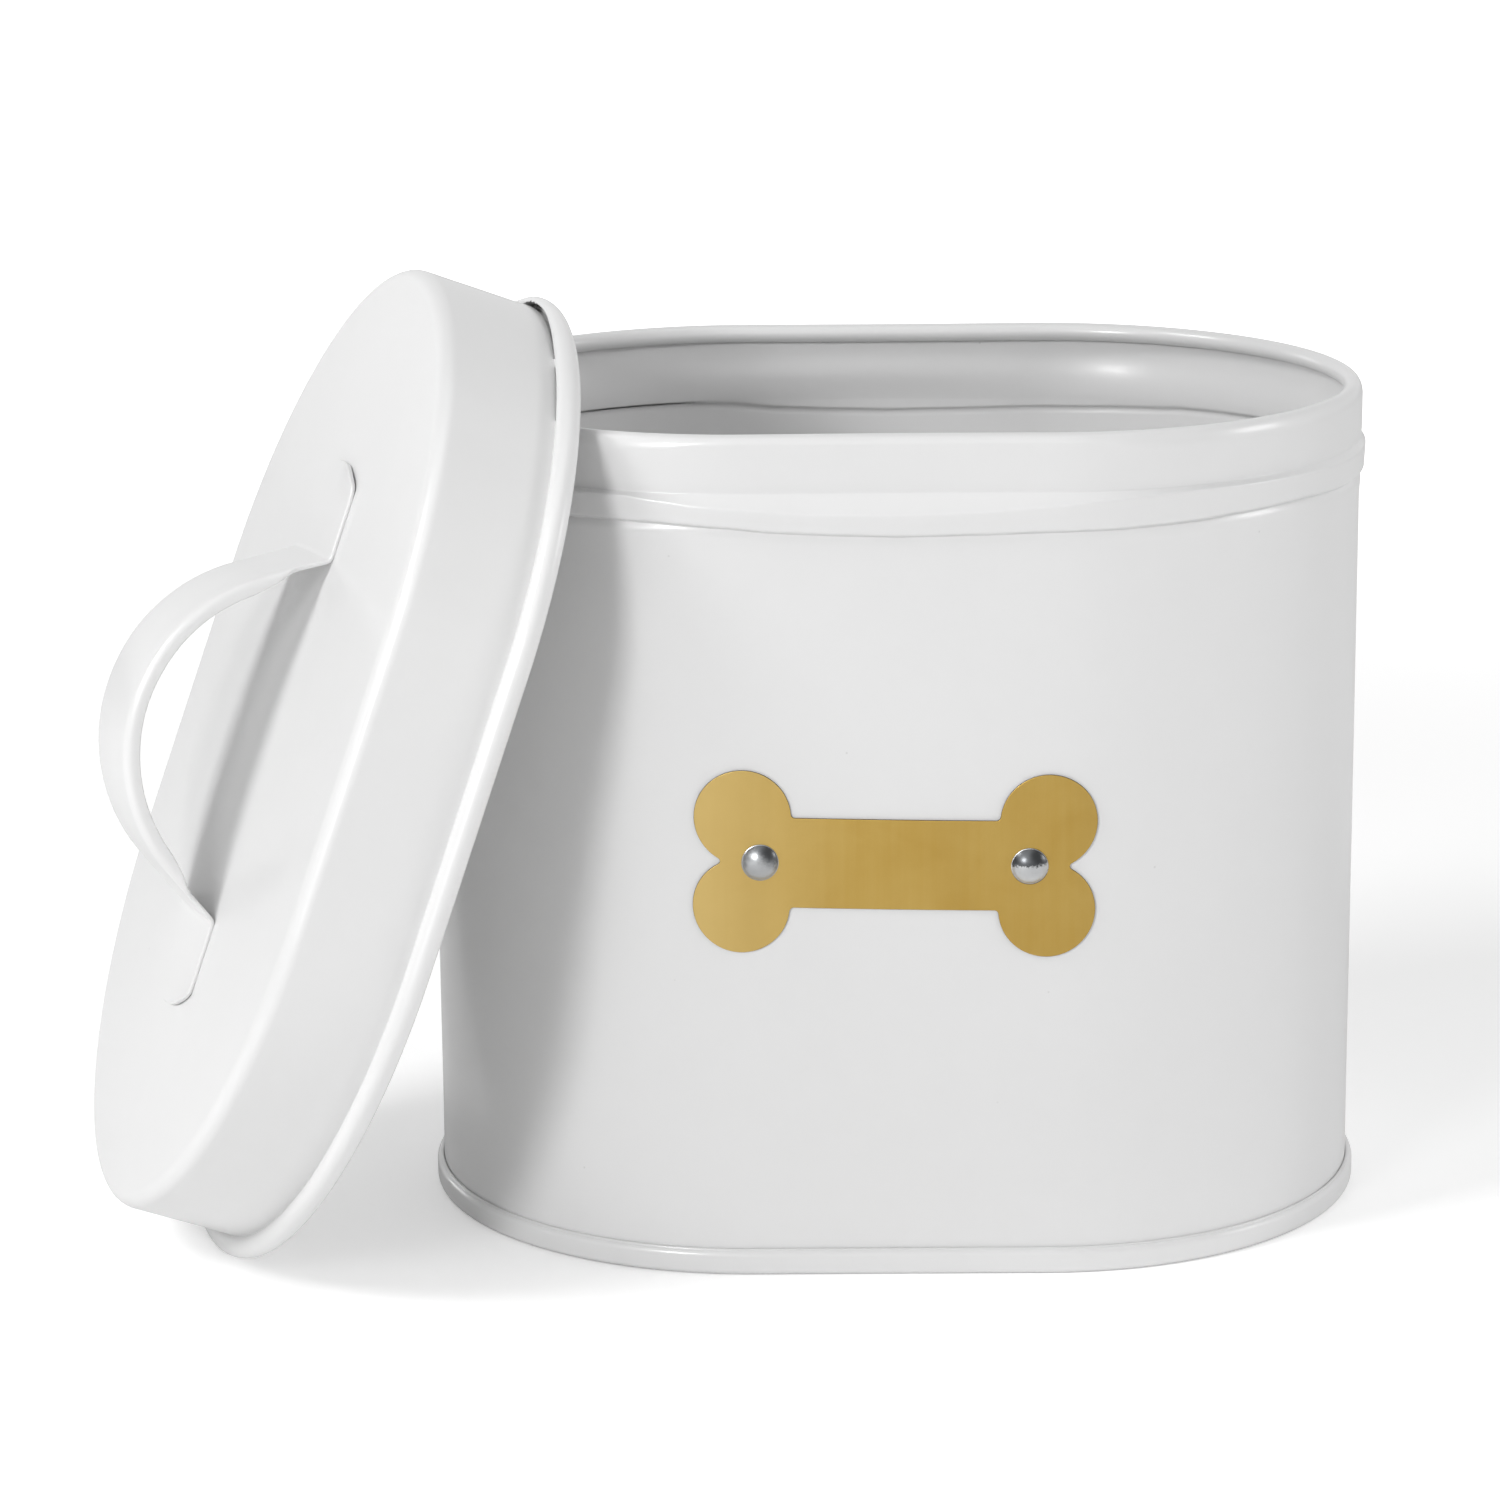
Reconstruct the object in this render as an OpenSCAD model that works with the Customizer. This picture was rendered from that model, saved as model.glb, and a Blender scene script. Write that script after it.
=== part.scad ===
// Oval sheet-metal storage bin with a loose lid and a riveted ornament plate.
// The bin stands on Z = 0 with its centre on the Z axis, its long axis along X
// and the plate facing -Y. The lid is shown off the bin, standing on the floor
// on its rounded end and leaning against the bin's -X end.

/* [Bin] */
// Outside length of the wall, along X
bin_length = 250; // [220:1:300]
// Outside depth of the wall, along Y
bin_width = 172; // [150:1:190]
// Height from the floor to the top of the rolled rim
bin_height = 223; // [200:1:260]
// Thickness of the coated sheet
sheet = 0.8; // [0.6:0.1:1.2]
// Outside diameter of the wire-like roll at the rim
rim_roll = 4.6; // [4:0.1:6]

/* [Swaged bead under the rim] */
// Plain neck between the rim and the bead, which the lid fits over
neck_height = 14.9; // [10:0.1:16]
// Height of the bead
bead_height = 9.8; // [9:0.1:16]
// How far the bead stands out of the wall
bead_proud = 1.9; // [1:0.1:2.4]

/* [Base] */
// Height of the seam that holds the base in the wall
seam_height = 7; // [5:0.5:10]
// How far the seam stands out of the wall
seam_proud = 1.9; // [1.2:0.1:2.5]
// Height of the base panel above the floor
panel_lift = 3.5; // [2.5:0.1:5]

/* [Lid] */
// Gap all round between the bead and the inside of the lid's skirt
lid_gap = 1.3; // [1:0.1:2]
// Overall depth of the lid, from its top to the rolled edge
lid_depth = 37; // [32:0.5:42]
// Outside radius of the edge between the lid's top and its skirt
lid_edge_radius = 4; // [3:0.5:6]
// Outside diameter of the roll around the lid's open edge
lid_roll = 6.2; // [4.5:0.1:7]

/* [Handle] */
// Width of the strap
strap_width = 37; // [30:0.5:42]
// Thickness of the strap
strap_thickness = 1.2; // [1:0.1:2]
// Distance between the two bends where the strap meets the lid
arch_span = 98.8; // [90:0.2:104]
// Height of the arch above the lid
arch_height = 38.3; // [34:0.1:42]
// Radius of the arch
arch_radius = 47; // [46.5:0.1:50]
// Length of the strap over both feet
strap_length = 150; // [140:1:160]
// Radius of the rounded end of each foot
foot_end_radius = 34; // [30:1:60]

/* [Ornament plate] */
// Distance between the lobe centres, along X
lobe_pitch_x = 78.6; // [70:0.2:84]
// Distance between the lobe centres, along Z
lobe_pitch_z = 23.4; // [20:0.2:24.6]
// Radius of each lobe
lobe_radius = 12.5; // [11:0.1:14]
// Height of the bar between the lobes
bar_height = 23.8; // [20:0.2:24]
// Thickness of the plate
plate_thickness = 0.6; // [0.5:0.1:1]
// Height of the plate's centre above the floor
plate_height = 111.6; // [90:0.2:120]
// Sideways place of the plate's centre
plate_shift = -1.3; // [-5:0.1:5]
// How far the plate hangs lower at its right end, in degrees
plate_tilt = 1.2; // [-3:0.1:3]

/* [Rivets] */
// Distance between the two rivets
rivet_pitch = 69.2; // [60:0.2:76]
// Diameter of the domed head
rivet_head = 9.6; // [8:0.1:11]
// Height of the domed head
rivet_head_height = 2.2; // [1.6:0.1:3]
// Diameter of the shank
rivet_shank = 4.1; // [3:0.1:5]
// Diameter of the washer behind the wall
washer_diameter = 9; // [8:0.5:12]

/* [Leaning lid] */
// Lean of the lid's top from level
lean_tilt = 67.78; // [67.78]
// Turn of the lid towards the front
lean_turn = 32.38; // [32.38]
// Roll of the lid about its long axis
lean_roll = -14.67; // [-14.67]
// Place of the middle of the lid's top, along X
lean_x = -167.81; // [-167.81]
// Place of the middle of the lid's top, along Y
lean_y = -48.07; // [-48.07]
// Place of the middle of the lid's top, along Z
lean_z = 137.49; // [137.49]

/* [Hidden] */
$fn = 96;

slip = 0.03;                                   // gap between touching parts
washer_thickness = 1;
hole_radius = rivet_shank / 2 + 0.05;
end_radius = bin_width / 2;                    // half rounds of the bin's plan
end_offset = (bin_length - bin_width) / 2;     // their centres, along X
skirt_out = bead_proud + lid_gap + sheet;      // lid skirt outside the wall's face
washer_back = bin_width / 2 - sheet - 2 * slip - washer_thickness;

// ---- helpers -------------------------------------------------------------

// points of an arc between two angles
function arc(centre, radius, start, end, steps) =
    [for (i = [0:steps])
        let (angle = start + (end - start) * i / steps)
        centre + radius * [cos(angle), sin(angle)]];

// sweeps a section round the bin's plan: two half rounds and two flat sides.
// In the section x is measured outwards from the wall's outer face, y is height.
module sweep_plan() {
    for (turn = [0, 180]) rotate([0, 0, turn]) {
        translate([end_offset, 0, 0]) rotate([0, 0, -90])
            rotate_extrude(angle = 180) translate([end_radius, 0]) children();
        translate([-end_offset, 0, 0]) rotate([90, 0, 90])
            linear_extrude(2 * end_offset) translate([end_radius, 0]) children();
    }
}

// the plan itself, grown by a positive or shrunk by a negative amount
module plan(grow) {
    for (side = [-1, 1])
        translate([side * end_offset, 0]) circle(end_radius + grow);
    square([2 * end_offset, 2 * (end_radius + grow)], center = true);
}

// place of the rivet on the left (-1) or right (1)
function rivet_x(side) = plate_shift + side * rivet_pitch / 2 * cos(plate_tilt);
function rivet_z(side) = plate_height - side * rivet_pitch / 2 * sin(plate_tilt);

// cutter for a rivet hole through a part that lies on z = 0
module rivet_hole(thickness) {
    translate([0, 0, -1]) cylinder(h = thickness + 2, r = hole_radius);
}

// ---- bin wall ------------------------------------------------------------

bead_low = bin_height - neck_height - bead_height;
step_top = 0.06;      // top of the bead's sharp lower step, as a share of its height
crest = 0.64;         // where the bead stands out furthest, likewise
step_proud = 0.42;    // how far the step stands out, as a share of bead_proud
curve_steps = 6;

// outer face of the bead from the bottom up: [outwards, height]
bead_face = concat(
    [[0, bead_low]],
    [for (i = [0:curve_steps]) let (share = i / curve_steps)
        [bead_proud * (step_proud + (1 - step_proud) * sin(90 * share)),
         bead_low + bead_height * (step_top + (crest - step_top) * share)]],
    [for (i = [1:curve_steps]) let (share = i / curve_steps)
        [bead_proud * (0.5 + 0.5 * cos(180 * share)),
         bead_low + bead_height * (crest + (1 - crest) * share)]]);

module wall_section() {
    radius = rim_roll / 2;
    centre = [-radius, bin_height - radius];
    curl = 250;           // angle at which the inward roll ends
    wall_foot = sheet + slip;
    polygon(concat(
        [[-sheet, wall_foot], [0, wall_foot]],
        bead_face,
        arc(centre, radius, 0, curl, 20),
        arc(centre, radius - sheet, curl, 0, 20),
        [for (i = [len(bead_face) - 1:-1:0]) bead_face[i] - [sheet, 0]]));
}

module body_wall() {
    color("white")
    difference() {
        sweep_plan() wall_section();
        for (side = [-1, 1])
            translate([rivet_x(side), -bin_width / 2 + 3, rivet_z(side)])
                rotate([90, 0, 0]) cylinder(h = 8, r = hole_radius);
    }
}

// ---- base ----------------------------------------------------------------

// the rim of the base folded round the wall's lower edge
module base_rim_section() {
    slot_inner = -sheet - slip;
    inner = slot_inner - sheet;
    chamfer = 0.6;
    low_radius = 1.2;
    top_radius = 1.6;
    polygon(concat(
        [[inner, chamfer], [inner + chamfer, 0]],
        arc([seam_proud - low_radius, low_radius], low_radius, -90, 0, 5),
        arc([seam_proud - top_radius, seam_height - top_radius], top_radius, 0, 80, 5),
        [[slip, seam_height], [slip, sheet], [slot_inner, sheet],
         [slot_inner, seam_height], [inner, seam_height]]));
}

module base_pan() {
    color("white")
    union() {
        sweep_plan() base_rim_section();
        // the panel reaches halfway into the rim's inner layer
        translate([0, 0, panel_lift])
            linear_extrude(sheet) plan(-sheet - slip - sheet / 2);
    }
}

// ---- plate, rivets and washers -------------------------------------------

module bone_outline() {
    for (x = [-1, 1], y = [-1, 1])
        translate([x * lobe_pitch_x / 2, y * lobe_pitch_z / 2]) circle(lobe_radius);
    square([lobe_pitch_x, bar_height], center = true);
}

module bone_plate() {
    color("goldenrod")
    translate([plate_shift, -bin_width / 2 - slip, plate_height])
        rotate([90, 0, 0]) rotate([0, 0, -plate_tilt])
        difference() {
            linear_extrude(plate_thickness) bone_outline();
            for (side = [-1, 1]) translate([side * rivet_pitch / 2, 0, 0])
                rivet_hole(plate_thickness);
        }
}

// Axis along Y, head towards -Y. In the section x is the radius and y is the
// distance from the bin's XZ plane towards the front.
module rivet(side) {
    head_base = bin_width / 2 + 2 * slip + plate_thickness;
    ball_radius = (pow(rivet_head / 2, 2) + pow(rivet_head_height, 2))
                  / (2 * rivet_head_height);
    ball_centre = head_base + rivet_head_height - ball_radius;
    dome_angle = acos((ball_radius - rivet_head_height) / ball_radius);
    dome_steps = 9;
    tail_base = washer_back - slip;
    tail_radius = 3.3;
    tail_end_radius = 2.9;
    tail_end = tail_base - 1.4;
    tail_chamfer = tail_base - 0.9;
    color("silver")
    translate([rivet_x(side), 0, rivet_z(side)]) rotate([90, 0, 0])
    rotate_extrude()
        polygon(concat(
            [[0, tail_end], [tail_end_radius, tail_end],
             [tail_radius, tail_chamfer], [tail_radius, tail_base - slip],
             [rivet_shank / 2, tail_base - slip], [rivet_shank / 2, head_base],
             [rivet_head / 2, head_base]],
            [for (i = [1:dome_steps - 1]) let (angle = dome_angle * (1 - i / dome_steps))
                [ball_radius * sin(angle), ball_centre + ball_radius * cos(angle)]],
            [[0, head_base + rivet_head_height]]));
}

module rivet_left()  { rivet(-1); }
module rivet_right() { rivet(1); }

module washer(side) {
    color("silver")
    translate([rivet_x(side), -washer_back, rivet_z(side)])
        rotate([90, 0, 0])
        difference() {
            cylinder(h = washer_thickness, d = washer_diameter);
            rivet_hole(washer_thickness);
        }
}

module washer_left()  { washer(-1); }
module washer_right() { washer(1); }

// ---- lid -----------------------------------------------------------------

top_band = 30;        // how far the swept section reaches in from the wall's face
top_overlap = 1;      // overlap of that band and the flat middle of the top

// carries the lid from its own frame, top at Z = 0, to the leaning position
module leaning() {
    translate([lean_x, lean_y, lean_z])
        rotate([lean_roll, -lean_tilt, lean_turn])
            children();
}

module lid_section() {
    skirt_in = skirt_out - sheet;
    edge_centre = [skirt_out - lid_edge_radius, -lid_edge_radius];
    radius = lid_roll / 2;
    // the open edge is rolled outwards, up against the skirt
    roll_centre = [skirt_in + radius, -lid_depth + radius];
    roll_end = 490;
    polygon(concat(
        [[-top_band, 0]],
        arc(edge_centre, lid_edge_radius, 90, 0, 6),
        arc(roll_centre, radius - sheet, 180, roll_end, 20),
        arc(roll_centre, radius, roll_end, 180, 20),
        [[skirt_in, -lid_edge_radius]],
        arc(edge_centre, lid_edge_radius - sheet, 0, 90, 6),
        [[-top_band, -sheet]]));
}

module lid_shell() {
    color("white") leaning()
    union() {
        sweep_plan() lid_section();
        translate([0, 0, -sheet]) linear_extrude(sheet) plan(top_overlap - top_band);
    }
}

// ---- handle --------------------------------------------------------------

// Centre line of half the strap, from the middle of the arch to the foot's end.
// A straight leg runs from the bend at [arch_span / 2, 0] to touch the arch.
function half_strap_line() =
    let (bend_x = arch_span / 2,
         centre_z = arch_height - strap_thickness / 2 - arch_radius,
         distance = norm([bend_x, centre_z]),      // from the bend to the arch's centre
         leg_length = sqrt(distance * distance - arch_radius * arch_radius),
         leg_angle = atan2(centre_z, -bend_x) - asin(arch_radius / distance) + 360,
         leg = [cos(leg_angle), sin(leg_angle)],
         touch = [bend_x, 0] + leg_length * leg,
         touch_angle = atan2(touch[1] - centre_z, touch[0]))
    concat(
        arc([0, centre_z], arch_radius, 90, touch_angle, 14),
        // the bend, eased by three points
        [[bend_x, 0] + 2.2 * leg, [bend_x - 0.6, 0.45], [bend_x + 1.6, 0]],
        [[strap_length / 2, 0]]);

// unit normal at point i of a line; straight up at its two ends
function normal(line, i) =
    i == 0 || i == len(line) - 1 ? [0, 1] :
    let (along = line[i + 1] - line[i - 1])
    [-along[1], along[0]] / norm(along);

// side view of the strap: the centre line thickened
module strap_side() {
    half = half_strap_line();
    line = concat([for (i = [len(half) - 1:-1:1]) [-half[i][0], half[i][1]]], half);
    last = len(line) - 1;
    offset_by = strap_thickness / 2;
    polygon(concat([for (i = [0:last]) line[i] + offset_by * normal(line, i)],
                   [for (i = [last:-1:0]) line[i] - offset_by * normal(line, i)]));
}

// rounded end on the left (-1) or right (1), with a block behind it that
// covers the rest of the strap
module foot_end(side) {
    translate([side * (strap_length / 2 - foot_end_radius), 0])
        union() {
            circle(foot_end_radius);
            translate([side < 0 ? 0 : -strap_length, -strap_width])
                square([strap_length, 2 * strap_width]);
        }
}

// strap seen from above: straight sides and shallow rounded ends
module strap_plan() {
    intersection() {
        square([strap_length, strap_width], center = true);
        foot_end(1);
        foot_end(-1);
    }
}

module lid_handle() {
    margin = 5;           // reach of the plan's prism below and above the strap
    color("white") leaning()
        translate([0, 0, slip + strap_thickness / 2])
        intersection() {
            translate([0, strap_width / 2, 0]) rotate([90, 0, 0])
                linear_extrude(strap_width) strap_side();
            translate([0, 0, -margin])
                linear_extrude(arch_height + 2 * margin) strap_plan();
        }
}

body_wall();
base_pan();
bone_plate();
rivet_left();
rivet_right();
washer_left();
washer_right();
lid_shell();
lid_handle();
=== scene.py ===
import bpy, bmesh, math
from mathutils import Vector, Matrix, Euler, noise


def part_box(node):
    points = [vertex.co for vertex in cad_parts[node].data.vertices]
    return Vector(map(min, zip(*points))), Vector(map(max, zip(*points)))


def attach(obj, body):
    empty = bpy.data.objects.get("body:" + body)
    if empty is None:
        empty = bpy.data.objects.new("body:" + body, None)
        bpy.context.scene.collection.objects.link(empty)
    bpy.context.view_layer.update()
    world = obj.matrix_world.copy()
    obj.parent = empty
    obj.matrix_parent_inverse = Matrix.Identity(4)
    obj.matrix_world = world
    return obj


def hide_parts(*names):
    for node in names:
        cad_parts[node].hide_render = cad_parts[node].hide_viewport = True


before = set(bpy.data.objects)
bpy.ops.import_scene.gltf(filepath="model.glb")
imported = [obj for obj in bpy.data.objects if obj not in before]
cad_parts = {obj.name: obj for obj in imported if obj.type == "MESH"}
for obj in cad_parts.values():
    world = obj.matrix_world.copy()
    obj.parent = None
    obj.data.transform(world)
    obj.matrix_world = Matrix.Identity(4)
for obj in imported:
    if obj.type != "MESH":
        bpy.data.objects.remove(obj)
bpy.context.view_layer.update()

MM = 0.001

# ---------------------------------------------------------------- dimensions, read from the frame
wall_lo, wall_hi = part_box("body_wall")
pan_lo, pan_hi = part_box("base_pan")
PROUD = 1.9
L = (wall_hi[0] - wall_lo[0]) / MM - 2 * PROUD          # wall length
W = (wall_hi[1] - wall_lo[1]) / MM - 2 * PROUD          # wall depth
H = wall_hi[2] / MM                                     # rim height
R = W / 2
S = (L - W) / 2
SHEET = 0.8
plate_lo, plate_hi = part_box("bone_plate")
PX = (plate_lo[0] + plate_hi[0]) / 2 / MM
PZ = (plate_lo[2] + plate_hi[2]) / 2 / MM
rv_lo, rv_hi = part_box("rivet_left")
rw_lo, rw_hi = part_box("rivet_right")
RIV = (rv_hi[0] - rv_lo[0]) / 2 / MM
RIVET_AT = {-1: ((rv_lo[0] + rv_hi[0]) / 2 / MM, (rv_lo[2] + rv_hi[2]) / 2 / MM),
            1: ((rw_lo[0] + rw_hi[0]) / 2 / MM, (rw_lo[2] + rw_hi[2]) / 2 / MM)}
RX = (RIVET_AT[1][0] - RIVET_AT[-1][0]) / 2
TILT = math.atan2(RIVET_AT[1][1] - RIVET_AT[-1][1], RIVET_AT[1][0] - RIVET_AT[-1][0])

# ---------------------------------------------------------------- small maths helpers
def clamp(x, a=0.0, b=1.0):
    return a if x < a else b if x > b else x

def smooth(x):
    x = clamp(x)
    return x * x * (3 - 2 * x)

def lerp(a, b, t):
    return a + (b - a) * t

def arc(cx, cy, r, a0, a1, n):
    return [(cx + r * math.cos(math.radians(a0 + (a1 - a0) * i / n)),
             cy + r * math.sin(math.radians(a0 + (a1 - a0) * i / n))) for i in range(n + 1)]

def plan_samples(n_arc, n_side, r=None, s=None):
    """Points and outward normals of a plan with two half-round ends and two sides."""
    r = R if r is None else r
    s = S if s is None else s
    out = []
    for k in range(n_arc):                               # +X end, from -90 to 90
        a = -math.pi / 2 + math.pi * k / n_arc
        out.append((s, 0, a))
    for k in range(n_side):                              # back side, +X to -X
        out.append((lerp(s, -s, k / n_side), 0, math.pi / 2))
    for k in range(n_arc):
        a = math.pi / 2 + math.pi * k / n_arc
        out.append((-s, 0, a))
    for k in range(n_side):
        out.append((lerp(-s, s, k / n_side), 0, -math.pi / 2))
    return [(cx, math.cos(a), math.sin(a)) for cx, _, a in out]

def side_weight(x, half):
    """1 in the middle of a long side, 0 past +-half."""
    t = abs(x) / half
    return 0.0 if t >= 1 else math.cos(math.pi * t / 2) ** 2

def new_mesh(name, verts, faces, smooth_shade=True, bare_and_slit_shade=None):
    me = bpy.data.meshes.new(name)
    me.from_pydata(verts, [], faces)
    if bare_and_slit_shade is not None:                                 # where the coat is torn off, and painted shade along the open slit, 0..1
        at = me.attributes.new("bare_and_slit_shade", 'FLOAT', 'POINT')
        at.data.foreach_set("value", bare_and_slit_shade)
    me.validate()
    ob = bpy.data.objects.new(name, me)
    bpy.context.scene.collection.objects.link(ob)
    if smooth_shade:
        for p in me.polygons:
            p.use_smooth = True
    bm = bmesh.new(); bm.from_mesh(me)
    bmesh.ops.remove_doubles(bm, verts=bm.verts, dist=1e-7)
    bmesh.ops.recalc_face_normals(bm, faces=bm.faces)
    bm.to_mesh(me); bm.free()
    return ob

def sweep(name, ring_of, n_ring, closed_profile=True, caps=None):
    """ring_of(i) gives the section's points at station i (closed loop of stations)."""
    verts, faces = [], []
    rows = [ring_of(i) for i in range(n_ring)]
    m = len(rows[0])
    for r_ in rows:
        verts.extend(r_)
    for i in range(n_ring):
        j = (i + 1) % n_ring
        for k in range(m if closed_profile else m - 1):
            k2 = (k + 1) % m
            faces.append((i * m + k, j * m + k, j * m + k2, i * m + k2))
    return verts, faces, m

def weighted(ob, angle=None):
    md = ob.modifiers.new("weighted", 'WEIGHTED_NORMAL')
    md.keep_sharp = False
    md.weight = 60
    return md

# ---------------------------------------------------------------- bin wall
N_ARC, N_SIDE = ((120, 64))
STATIONS = plan_samples(N_ARC, N_SIDE)

BODY_BULGE = 1.5        # the long sides of the body bow out a little
NECK_FLAT = -1.1        # the neck's sides are drawn a little flatter
HALF = S + 38.0

def body_wave(x, y, z):
    """Slight unevenness of thin rolled sheet, in mm."""
    p = Vector((x * 0.011, y * 0.011, z * 0.008))
    return 0.16 * noise.noise(p + Vector((3.1, 7.7, 1.3)))

def wall_point(st, off, z, neckness):
    cx, nx, ny = st
    x = cx + (R + off) * nx
    y = (R + off) * ny
    w = side_weight(x, HALF) * abs(ny)
    b = lerp(BODY_BULGE, NECK_FLAT, neckness)
    fade = smooth((z - 4) / 45.0)                        # no bulge where the base holds the wall round
    b = b * (fade if neckness < 1 else 1)
    y += (1 if ny > 0 else -1) * b * w
    d = body_wave(x, y, z) * smooth((z - 8) / 20)
    return (x + d * nx, y + d * ny, z)

# heights of the neck's fold lines, against the place along the front, in mm below the rim
FOLD_DROP = [(-79, 0.7), (-70, 1.0), (-60, 2.0), (-51, 3.0), (-36, 4.1), (-21, 5.1), (0, 5.2), (20, 4.7), (40, 3.4), (50, 2.5), (60, 1.9), (75, 1.2), (100, 1.5), (118, 2.0)]
BEAD_FOOT = [(-95, 23.3), (-79, 22.4), (-62, 22.7), (-46, 23.6), (-31, 24.9), (-16, 25.5), (0, 25.9), (20, 25.6), (40, 25.1), (55, 24.9), (65, 24.5), (77, 24.1), (84, 23.6), (104, 23.2), (118, 24.0)]
NECK_LINE = 14.9

def ease_table(rows, x):
    """Value of a table at x, eased between its rows."""
    if x <= rows[0][0]:
        return rows[0][1]
    for (a, u), (b, v) in zip(rows, rows[1:]):
        if x <= b:
            t = (x - a) / (b - a)
            return u + (v - u) * (0.5 * t + 0.5 * smooth(t))
    return rows[-1][1]

def wall_profile(st):
    """(offset, z, neckness) from the hidden lower edge up the outside, over the rim roll and down the inside."""
    cx, nx, ny = st
    x = cx + R * nx
    fold = ease_table(FOLD_DROP, x)
    foot = ease_table(BEAD_FOOT, x)
    z_low = H - foot
    z_top = H - NECK_LINE
    z_cr = z_top - max(fold - 0.3, 0.8)
    end = smooth((abs(nx) - 0.55) / 0.45)
    pr = lerp(PROUD - 0.12, PROUD - 0.45, end)            # the bead stands less proud round the ends
    nk0 = 0.45 * end if nx > 0 else 0.12 * end            # the neck runs a little wide at one end
    P = [(0.0, 1.0, 0), (0.0, 4.0, 0), (0.0, 7.2, 0), (0.0, 9.0, 0), (0.0, 14.0, 0)]
    n = 26
    for i in range(1, n + 1):
        P.append((0.0, lerp(14.0, z_low - 8.0, i / n), 0))
    # rounded shoulder of the body, then the groove under the bead
    kk = lerp(0.35, 1.0, smooth((abs(nx) - 0.12) / 0.25))
    P += [(0.06 * kk, z_low - 6.0, 0), (0.16 * kk, z_low - 4.4, 0), (0.25 * kk, z_low - 3.2, 0), (0.28 * kk, z_low - 2.5, 0), (0.24 * kk, z_low - 1.9, 0), (0.13 * kk, z_low - 1.4, 0),
          (-0.01, z_low - 0.95, 0), (-0.16 * kk, z_low - 0.55, 0), (-0.27 * kk - 0.04, z_low - 0.28, 0), (-0.30 * kk - 0.05, z_low - 0.06, 0), (-0.20, z_low + 0.12, 0),
          (0.12, z_low + 0.30, 0), (0.50, z_low + 0.46, 0), (pr - 0.66, z_low + 0.66, 0), (pr - 0.40, z_low + 0.92, 0), (pr - 0.25, z_low + 1.3, 0)]
    a, b = z_low + 1.3, z_cr - 0.35
    for i in range(1, 7):
        t = i / 7
        P.append((lerp(pr - 0.25, pr, smooth(t)), lerp(a, b, t), 0.0))
    P += [(pr, z_cr - 0.35, 0.0), (pr - 0.03, z_cr, 0.03), (pr - 0.16, z_cr + 0.24, 0.06)]
    # nearly straight upper flank into the neck, with a small fillet
    a, b = z_cr + 0.24, z_top
    for i in range(1, 10):
        t = i / 10
        P.append((lerp(pr - 0.16, nk0 - 0.10, t + 0.04 * math.sin(math.pi * t)), lerp(a, b, t), lerp(0.06, 0.96, t)))
    P += [(nk0 - 0.16, z_top + 0.05, 1), (nk0 - 0.19, z_top + 0.32, 1), (nk0 - 0.15, z_top + 0.75, 1), (nk0 - 0.07, z_top + 1.4, 1),
          (nk0 - 0.02, z_top + 2.2, 1), (nk0, z_top + 3.4, 1), (nk0, z_top + 5.2, 1), (nk0, z_top + 7.4, 1), (nk0, z_top + 9.0, 1)]
    rr = 2.5
    zr = H - rr
    tall = lerp(2.6, 4.8, smooth((abs(nx) - 0.10) / 0.25)) * lerp(1.0, 0.8, smooth((abs(nx) - 0.75) / 0.25))   # round the ends the roll's face leans in from further down
    for i in range(13):
        g = math.radians(90 * i / 13)
        P.append((nk0 - rr + rr * math.cos(g), H - tall + tall * math.sin(g), 1))
    P += [(px + nk0, pz, 1) for px, pz in arc(-rr, zr, rr, 90, 296, 24)]
    P += [(px + nk0, pz, 1) for px, pz in arc(-rr, zr, rr - SHEET, 296, 0, 24)]
    # inside face: a soft ring stands in front of the body's inner face and steps back at its foot
    t_ = SHEET
    ring = [(7.4, 0.0), (6.2, 0.02), (5.0, 0.08), (3.8, 0.20), (2.6, 0.40), (1.4, 0.65), (0.2, 0.90), (-1.0, 1.08), (-2.2, 1.20), (-3.4, 1.26),
            (-4.6, 1.27), (-5.8, 1.20), (-6.8, 1.06), (-7.6, 0.90)]
    for dz, inward in ring:
        k = clamp((dz + 7.0) / 11.0)
        P.append((nk0 * k - t_ - inward, min(z_top + dz, H - 5.2), smooth(k)))
    z_st = z_low + 1.3
    P += [(-t_ - 0.80, z_st, 0), (-t_ - 0.68, z_st - 0.35, 0), (-t_ - 0.40, z_st - 0.62, 0), (-t_ - 0.02, z_st - 0.82, 0), (-t_ + 0.26, z_st - 1.10, 0),
          (-t_ + 0.34, z_st - 1.65, 0), (-t_ + 0.26, z_st - 2.3, 0), (-t_ + 0.08, z_st - 3.1, 0)]
    for i in range(1, 16):
        P.append((-t_, lerp(z_low - 2.4, 9.0, i / 15), 0))
    P += [(-t_, 7.2, 0), (-t_, 4.0, 0), (-t_, 1.0, 0)]
    return P

def build_wall():
    def ring(i):
        st = STATIONS[i]
        pts = []
        for off, z, nk in wall_profile(st):
            x, y, zz = wall_point(st, off, z, nk)
            pts.append((x * MM, y * MM, zz * MM))
        return pts
    v, f, m = sweep("wall", ring, len(STATIONS))
    ob = new_mesh("wall_sheet", v, f)
    weighted(ob)
    return ob

wall = build_wall()
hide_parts("body_wall"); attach(wall, "bin")

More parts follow.
